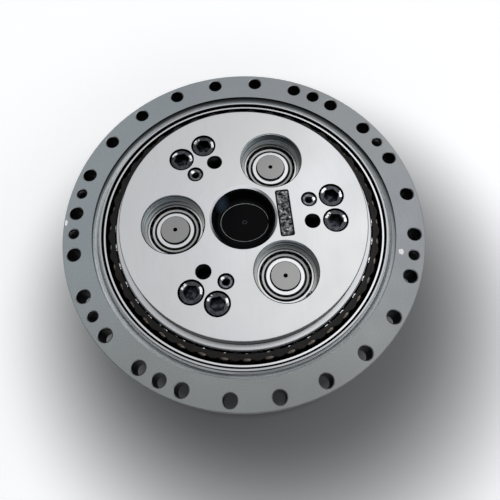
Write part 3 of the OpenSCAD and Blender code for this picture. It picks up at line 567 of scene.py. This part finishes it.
# Each well's wall is painted paler on its -X, +Y side and darker on its +X, -Y side as painted light.
lit_side_offset = 0.012
painted_light_of_wells = maths(tree, "SUBTRACT",
               flat_distance(tree, plate.where, [(x + lit_side_offset, y - lit_side_offset) for x, y in crank_axes]),
               flat_distance(tree, plate.where, [(x - lit_side_offset, y + lit_side_offset) for x, y in crank_axes]))
painted_light_of_wells = ramp(tree, painted_light_of_wells, -0.020, 0.034)
bored = blend(tree, 1.0, bored, blend(tree, painted_light_of_wells, (0.42, 0.42, 0.42), (1.75, 1.80, 1.85)), "MULTIPLY")
plate.paint(both(tree, between(tree, well, -far, well_radius + 0.0011, 0.0002), below), bored)
# The well mouths' chamfers are painted dark as shade.
plate.band(well, well_radius + 0.00025, well_radius + 0.0012, (0.15, 0.155, 0.16), within=below)
# The snap ring's groove is painted near black as shade.
plate.band(well, well_radius + 0.0002, well_radius + 0.0025, (0.06, 0.06, 0.06),
           within=between(tree, plate.height, snap_groove_low, snap_groove_high, 0.0001))
# Counterbores, pin holes, lifting holes and the bore are painted near black below the top as shade.
for axes, reach, dark in ((bolt_axes, 0.0130, 0.018), (pin_axes, 0.0084, 0.03),
                          (lift_axes, 0.0081, 0.012), ([(0.0, 0.0)], plate_bore + 0.0002, 0.010)):
    hole = flat_distance(tree, plate.where, axes)
    plate.band(hole, -far, reach, (dark, dark, dark * 1.1), within=below)
bore_mouth = both(tree, between(tree, plate.radius, plate_bore + 0.0001, plate_bore + 0.0025, 0.0001),
                  between(tree, plate.height, plate_top_z - 0.0024, plate_top_z, 0.0001))
plate.paint(bore_mouth, (0.70, 0.71, 0.73))
# The front, -Y part of the bore's chamfer is painted black as shade.
painted_shade_front_of_bore = ramp(tree, along(tree, plate.where, "Y"), -0.024, -0.006, 1.0, 0.0)
plate.paint(both(tree, bore_mouth, painted_shade_front_of_bore), (0.008, 0.008, 0.009))
# The plate's outer chamfer and side wall are painted dark as shade.
plate.band(plate.radius, 0.1180, far, (0.055, 0.055, 0.057),
           within=between(tree, plate.height, -far, plate_top_z - 0.0007, 0.0003))
plate.onto("hold_flange")

lift_thread = Steel("oiled_lift_thread_steel", deep=(0.010, 0.010, 0.011),
                    pale=(0.050, 0.050, 0.055), roughness=0.30, axes=lift_axes, fineness=900.0)
lift_thread.onto()
threads("lifting_threads", lift_axes, wall=0.0070, low=0.0222, high=0.0466, pitch=0.002,
        depth=0.0007, material=lift_thread.made, body="carrier")

# ---- Bare pad ----
# A shallow milled pocket beside the bore whose floor was peened over: lumpy dark steel with
# crests painted bright as highlights and low parts painted dark as shade. It bears no marks.
pad_out = 0.0413
pad_half_width, pad_half_length, pad_corner = 0.00708, 0.02523, 0.00245
pad_floor_z, lump_height, lumps_a_metre = 0.04701, 0.00030, 470
run_out = 0.0028

pad, tree, surface = shader("peened_pad_steel", roughness=0.34, metallic=1.0)
where = own_place(tree)
height = along(tree, where, "Z")
lumps = noise(tree, where, scale=240.0, roughness=0.6)
# Crests are painted bright as highlights where the patch noise allows.
crest = ramp(tree, height, 0.04715, 0.04724)
shiny = ramp(tree, noise(tree, where, scale=150.0, detail=2.0), 0.45, 0.62)
steel = blend(tree, ramp(tree, lumps, 0.38, 0.62), (0.005, 0.006, 0.007), (0.24, 0.245, 0.25))
steel = blend(tree, both(tree, crest, shiny), steel, (0.75, 0.77, 0.78))
# The low parts are painted near black as shade.
hollow = ramp(tree, height, 0.04707, 0.04714, 1.0, 0.0)
steel = blend(tree, hollow, steel, (0.006, 0.006, 0.007))
tree.links.new(steel, surface.inputs["Base Color"])
bumped(tree, surface, lumps, 0.0002)
bm = bmesh.new()
bmesh.ops.create_grid(bm, x_segments=48, y_segments=170, size=1.0)
bmesh.ops.scale(bm, vec=(pad_half_width, pad_half_length, 1.0), verts=bm.verts)
straight_x = pad_half_width - pad_corner
straight_y = pad_half_length - pad_corner
for v in bm.verts:
    inset = Vector((max(abs(v.co.x) - straight_x, 0), max(abs(v.co.y) - straight_y, 0)))
    if inset.length > pad_corner:
        inset *= pad_corner / inset.length
        v.co.x = math.copysign(straight_x + inset.x, v.co.x)
        v.co.y = math.copysign(straight_y + inset.y, v.co.y)
    edge = min(pad_half_width - abs(v.co.x), pad_half_length - abs(v.co.y), pad_corner - inset.length)
    rise = 0.5 + 0.5 * lumpy(Vector((v.co.x * lumps_a_metre, v.co.y * lumps_a_metre, 3.0)))
    v.co.z = pad_floor_z + lump_height * rise * min(edge / run_out, 1.0)
bmesh.ops.translate(bm, vec=(pad_out, 0, 0), verts=bm.verts)
bmesh.ops.rotate(bm, matrix=Matrix.Rotation(math.radians(carrier_angle), 3, "Z"), verts=bm.verts)
piece("pad_floor", bm, pad, "carrier", smooth=True)

# ---- Clamp bolts ----
# Six socket head bolts of strength class 12.9, black oxide all over and grey where the wrench has
# touched the mouth of the hexagon. Painted shade rings each head, and white glints are painted on its
# rim.
bolt_top_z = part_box("clamp_bolts")[1].z
socket_reach, socket_floor_z = 0.0085, 0.0382

bolt = Steel("black_oxide_steel", deep=(0.010, 0.011, 0.013), pale=(0.060, 0.064, 0.072),
             roughness=0.26, axes=bolt_axes, fineness=1800.0)
tree = bolt.tree
smears = noise(tree, bolt.where, scale=260.0, detail=4.0, roughness=0.6)
bolt.paint(ramp(tree, smears, 0.40, 0.62), (0.075, 0.08, 0.088))
bumped(tree, bolt.surface, smears, 0.00020)
top = between(tree, bolt.height, bolt_top_z - 0.0022, bolt_top_z + 0.0008, 0.0001)
# The outer edge of each head is painted black as shade.
bolt.band(bolt.radius, 0.0110, far, (0.006, 0.006, 0.007), soft=0.0003, within=top)
bolt.band(bolt.radius, 0.0068, 0.0080, (0.060, 0.064, 0.072), soft=0.0006, within=top)
sides = between(tree, bolt.height, socket_floor_z + 0.0004, bolt_top_z - 0.0007, 0.0001)
bolt.band(bolt.radius, -far, socket_reach, (0.010, 0.010, 0.013), within=sides)
floor = between(tree, bolt.height, socket_floor_z - 0.0012, socket_floor_z + 0.0002, 0.0001)
bolt.band(bolt.radius, -far, socket_reach, (0.009, 0.010, 0.013), within=floor)
bolt.band(bolt.radius, -far, socket_reach, (0.050, 0.055, 0.064),
          within=both(tree, floor, ramp(tree, smears, 0.48, 0.62)))
# White glints are painted on each head's rim, east and north-west of its axis.
rim = both(tree, top, between(tree, bolt.radius, 0.0086, 0.0108, 0.0004))
patchy = both(tree, rim, ramp(tree, smears, 0.40, 0.52))
for east, north, size in ((0.0092, 0.0016, 0.0030), (-0.0072, 0.0064, 0.0028)):
    spot = flat_distance(tree, bolt.where, [(x + east, y + north) for x, y in bolt_axes])
    bolt.paint(both(tree, patchy, between(tree, spot, -far, size, 0.0012)), (0.95, 0.97, 1.0))
bolt.onto("clamp_bolts")

# ---- Taper pins ----
# Three hardened pins, 1 in 50, driven in beside the bolts and blackened by oil, with a ring of
# painted shade round each head and a painted white glint on it. Each has a small internal thread
# to draw it out again.
pin_top_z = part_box("taper_pins")[1].z

pin = Steel("oiled_taper_pin_steel", deep=(0.030, 0.031, 0.034), pale=(0.085, 0.088, 0.095),
            roughness=0.24, axes=pin_axes)
tree = pin.tree
smears = noise(tree, pin.where, scale=420.0)
bumped(tree, pin.surface, smears, 0.00012)
top = between(tree, pin.height, pin_top_z - 0.0015, pin_top_z + 0.0010, 0.0001)
# The outer edge of each pin's head is painted black as shade.
pin.band(pin.radius, 0.0064, far, (0.006, 0.006, 0.007), soft=0.0004, within=top)
pin.band(pin.radius, 0.0042, 0.0056, (0.19, 0.20, 0.22), soft=0.0006,
         within=both(tree, top, ramp(tree, smears, 0.35, 0.60)))
pin.band(pin.radius, -far, 0.00345, (0.09, 0.09, 0.10),
         within=between(tree, pin.height, 0.0300, pin_top_z - 0.0007, 0.0001))
# A white glint is painted on each pin's head, beside its mouth.
glint_offsets = ((0.0046, 0.0006), (-0.0030, 0.0034), (-0.0030, 0.0032))
spot = flat_distance(tree, pin.where, [(x + e, y + n) for (x, y), (e, n) in zip(pin_axes, glint_offsets)])
pin.band(spot, -far, 0.0015, (0.95, 0.97, 1.0), soft=0.0006, within=top)
pin.onto("taper_pins")
threads("draw_threads", pin_axes, wall=0.00336, low=0.0250, high=0.0450, pitch=0.00125,
        depth=0.00045, material=pin.made, body="carrier")

# ---- Snap rings, cups ----
# A spring steel ring snapped into each well holds the cup of the crank bearing down. The cup's
# ground face shows inside it as a white ring; the snap ring's lower part and the cup's edges are
# painted dark as shade.
snap = Steel("spring_steel", deep=(0.30, 0.295, 0.28), pale=(0.50, 0.49, 0.46), roughness=0.30,
             axes=crank_axes, fineness=1600.0)
# The snap ring is painted dark below its top as shade.
snap.band(snap.height, -far, 0.0321, (0.08, 0.08, 0.08), soft=0.0002)
snap.onto("snap_rings")

cup = Steel("ground_cup_steel", deep=(0.52, 0.53, 0.54), pale=(0.66, 0.665, 0.67), roughness=0.24,
            axes=crank_axes, fineness=3600.0, relief=0.000005)
# Beyond the snap ring's edge and beside the rollers the cup is painted near black as shade.
cup.band(cup.radius, 0.0278, far, (0.02, 0.02, 0.02))
cup.band(cup.radius, -far, 0.0261, (0.012, 0.012, 0.012))
cup.band(cup.height, -0.0680, 0.0309, (0.035, 0.033, 0.030), soft=0.0001)
cup.onto("crank_cups_upper", "crank_cups_lower")

# ---- Cones, tapered rollers and their cages ----
# Each crank turns in two tapered roller bearings. The cone's ground face is a bright ring round
# the shaft; the pressed cage is grey, and the rollers are dark with oil.
on_each_crank = [f"{side}_{n}" for side in ("upper", "lower") for n in (1, 2, 3)]

cone = Steel("ground_cone_steel", deep=(0.58, 0.59, 0.60), pale=(0.74, 0.745, 0.75),
             roughness=0.24, axes=crank_axes, fineness=3600.0, relief=0.000005)
# Beyond its face ring the cone is painted near black as shade among the rollers.
cone.band(cone.radius, 0.0189, far, (0.015, 0.014, 0.014))
cone.band(cone.height, -0.0665, 0.0294, (0.10, 0.095, 0.09), soft=0.0002)
cone.onto(*[f"crank_cone_{place}" for place in on_each_crank])

roller = Steel("oiled_roller_steel", deep=(0.012, 0.012, 0.011), pale=(0.045, 0.042, 0.04),
               roughness=0.16, axes=crank_axes, fineness=900.0)
roller.onto("taper_rollers_1", "taper_rollers_2", "taper_rollers_3")

pressed = Steel("pressed_cage_steel", deep=(0.30, 0.30, 0.30), pale=(0.46, 0.46, 0.455),
                roughness=0.30, axes=crank_axes, fineness=1300.0)
pressed.band(pressed.radius, 0.0233, far, (0.02, 0.02, 0.02))
pressed.band(pressed.radius, -far, 0.0213, (0.03, 0.03, 0.03))
pressed.onto("taper_cages_1", "taper_cages_2", "taper_cages_3")

# ---- Crankshafts ----
# Three hardened shafts, ground on the journals and eccentrics. The end that shows is faced grey
# with a centre hole, and a fine dark seam parts it from the cone.
crank_top_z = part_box("crankshaft_1")[1].z

crank = Steel("ground_crank_steel", deep=(0.36, 0.37, 0.38), pale=(0.52, 0.53, 0.54),
              roughness=0.24, axes=crank_axes, fineness=3000.0, relief=0.000005)
tree = crank.tree
faced = blend(tree, crank.streaks, (0.215, 0.22, 0.212), (0.33, 0.332, 0.322))
faced = blend(tree, noise(tree, crank.where, scale=420.0), faced, (0.27, 0.265, 0.265))
crank.paint(between(tree, crank.height, crank_top_z - 0.0007, crank_top_z + 0.0015, 0.0001), faced)
crank.band(crank.radius, 0.01435, 0.0160, (0.012, 0.012, 0.012),
           within=between(tree, crank.height, crank_top_z - 0.0035, crank_top_z + 0.0015, 0.0001))
# The centre hole is painted dark as shade.
crank.band(crank.radius, -far, 0.00215, (0.02, 0.018, 0.016))
crank.onto("crankshaft_1", "crankshaft_2", "crankshaft_3")

# ---- Spur gears ----
# Three gears of case hardened steel on the crank splines. They are phosphated dark, and their
# tooth flanks are ground clean.
gear = Steel("phosphated_gear_steel", deep=(0.085, 0.088, 0.09), pale=(0.16, 0.165, 0.17),
             roughness=0.42, axes=crank_axes, fineness=1500.0, relief=0.00002)
gear.band(gear.radius, 0.0395, 0.0452, (0.42, 0.43, 0.44), soft=0.0004)
gear.onto("spur_gear_1", "spur_gear_2", "spur_gear_3")

# ---- Cycloid discs ----
# Two discs of bearing steel, ground on both faces and round the lobes, darkened by heat
# treatment in their windows.
disc_bore = 0.036
disc = Steel("ground_disc_steel", deep=(0.36, 0.37, 0.385), pale=(0.54, 0.55, 0.56),
             roughness=0.26, fineness=2000.0, relief=0.000006)
disc.band(disc.radius, 0.1235, far, (0.60, 0.61, 0.62), soft=0.0008)
disc.band(disc.radius, -far, disc_bore + 0.0002, (0.14, 0.145, 0.15), soft=0.0002)
disc.onto("disc_upper", "disc_lower")

# ---- Needle rollers and their cages ----
# Eighteen ground rollers round each eccentric, held apart by a steel cage that is copper grey
# from its heat treatment.
needle = Steel("ground_needle_steel", deep=(0.42, 0.42, 0.42), pale=(0.64, 0.64, 0.64),
               roughness=0.16, axes=crank_axes, fineness=2200.0)
needle.onto(*[f"needle_rollers_{place}" for place in on_each_crank])

needle_cage = Steel("needle_cage_steel", deep=(0.17, 0.155, 0.14), pale=(0.30, 0.275, 0.25),
                    roughness=0.36, axes=crank_axes, fineness=1200.0)
needle_cage.onto(*[f"needle_cage_{place}" for place in on_each_crank])

# ---- Output shaft ----
# The other half of the carrier, a flange forged in one with three pillars. The output face is
# turned and carries twelve tapped holes and a pilot recess.
output_face_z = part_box("output_shaft")[0].z
output_hole = 0.0070
output_axes = ring_of([carrier_angle + 15 + 30 * n for n in range(12)], 0.106)

shaft = Steel("turned_shaft_steel", deep=(0.37, 0.385, 0.40), pale=(0.50, 0.51, 0.52),
              roughness=0.33, fineness=1500.0)
tree = shaft.tree
near_hole = flat_distance(tree, shaft.where, output_axes)
shaft.band(near_hole, output_hole, output_hole + 0.0011, (0.62, 0.63, 0.64),
           within=between(tree, shaft.height, output_face_z - 0.0009, output_face_z + 0.0011, 0.0001))
shaft.band(near_hole, -far, output_hole + 0.0002, (0.022, 0.022, 0.024),
           within=between(tree, shaft.height, output_face_z + 0.0010, -0.0720, 0.0002))
shaft.band(flat_distance(tree, shaft.where, crank_axes), -far, well_radius + 0.0002,
           (0.10, 0.10, 0.10), within=between(tree, shaft.height, -0.0700, -0.0520, 0.0002))
shaft.onto("output_shaft")
threads("output_threads", output_axes, wall=output_hole, low=-0.0912, high=-0.0735, pitch=0.002,
        depth=0.0007, material=oily_thread.made, body="carrier")

# ---- Shaft plug ----
# A dished cover of pressed sheet, zinc plated, driven into the pilot side so that no oil leaves
# through the middle.
plug = Steel("zinc_plated_steel", deep=(0.44, 0.46, 0.48), pale=(0.60, 0.62, 0.63),
             roughness=0.30, fineness=500.0)
plug.band(plug.radius, 0.0305, 0.0312, (0.30, 0.31, 0.32), soft=0.0003)
plug.onto("shaft_plug")

# ---- Bore cap ----
# A black cap pushed into the bore to keep dirt out in transit: glossy moulded plastic with a thin
# raised ring on its floor and the mark of the gate in its middle. A bluish highlight is painted on its
# wall, and the ring is painted pale as a reflection.
cap_highlight_spot = (-0.0225, 0.0195, 0.039)
ring_off_middle = (0.0010, -0.0003, 0)
cap_floor_z = 0.0334

cap, tree, surface = shader("glossy_black_cap", roughness=0.14, Specular_IOR_Level=0.035)
where = own_place(tree)
haze = noise(tree, where, scale=38.0, detail=4.0)
# A bluish highlight is painted on the cap's upper-left wall.
painted_cap_highlight = between(tree, vectors(tree, "DISTANCE", where, cap_highlight_spot), -far, 0.0022, 0.0085)
black = blend(tree, haze, (0.0006, 0.0007, 0.0010), (0.0022, 0.0024, 0.0032))
tree.links.new(blend(tree, both(tree, painted_cap_highlight, 0.6), black, (0.050, 0.075, 0.115)),
               surface.inputs["Base Color"])
tree.links.new(ramp(tree, haze, 0.3, 0.7, 0.10, 0.22), surface.inputs["Roughness"])
bumped(tree, surface, haze, 0.00008)
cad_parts["bore_cap"].data.materials[0] = cap

# The raised ring is real; its pale colour is a painted reflection.
ring_reflection_finish, tree, surface = shader("cap_ring_reflection_plastic", roughness=0.30)
where = own_place(tree)
ring_mottle = noise(tree, where, scale=300.0)
gate = between(tree, vectors(tree, "LENGTH", flat(tree, where)), -far, 0.0050, 0.0010)
pale_ring_reflection = blend(tree, ring_mottle, (0.26, 0.27, 0.26), (0.55, 0.56, 0.55))
tree.links.new(blend(tree, gate, pale_ring_reflection, (0.085, 0.088, 0.085)), surface.inputs["Base Color"])
bumped(tree, surface, ring_mottle, 0.00004)
bm = bmesh.new()
for ring_radius, thick, oval in ((0.0243, 0.00026, 0.86), (0.0020, 0.00020, 0.9)):
    made = bmesh.ops.create_circle(bm, segments=10, radius=thick)
    bmesh.ops.rotate(bm, matrix=Matrix.Rotation(math.radians(90), 3, "X"), verts=made["verts"])
    bmesh.ops.translate(bm, vec=(ring_radius, 0, cap_floor_z), verts=made["verts"])
    outline = list({e for v in made["verts"] for e in v.link_edges})
    known = set(bm.verts) - set(made["verts"])
    bmesh.ops.spin(bm, geom=made["verts"] + outline, cent=(0, 0, 0), axis=(0, 0, 1), dvec=(0, 0, 0),
                   angle=math.tau, steps=144, use_merge=True, use_duplicate=False)
    fresh = [v for v in bm.verts if v not in known]
    bmesh.ops.scale(bm, vec=(1.0, oval, 1.0), verts=fresh)
    bmesh.ops.translate(bm, vec=ring_off_middle, verts=fresh)
bmesh.ops.remove_doubles(bm, verts=bm.verts, dist=0.000002)
bmesh.ops.recalc_face_normals(bm, faces=bm.faces)
piece("cap_ring", bm, ring_reflection_finish, "carrier", smooth=True)

size = {"cad": [list(solid_low), list(solid_high)], "visual": [list(v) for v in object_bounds()]}
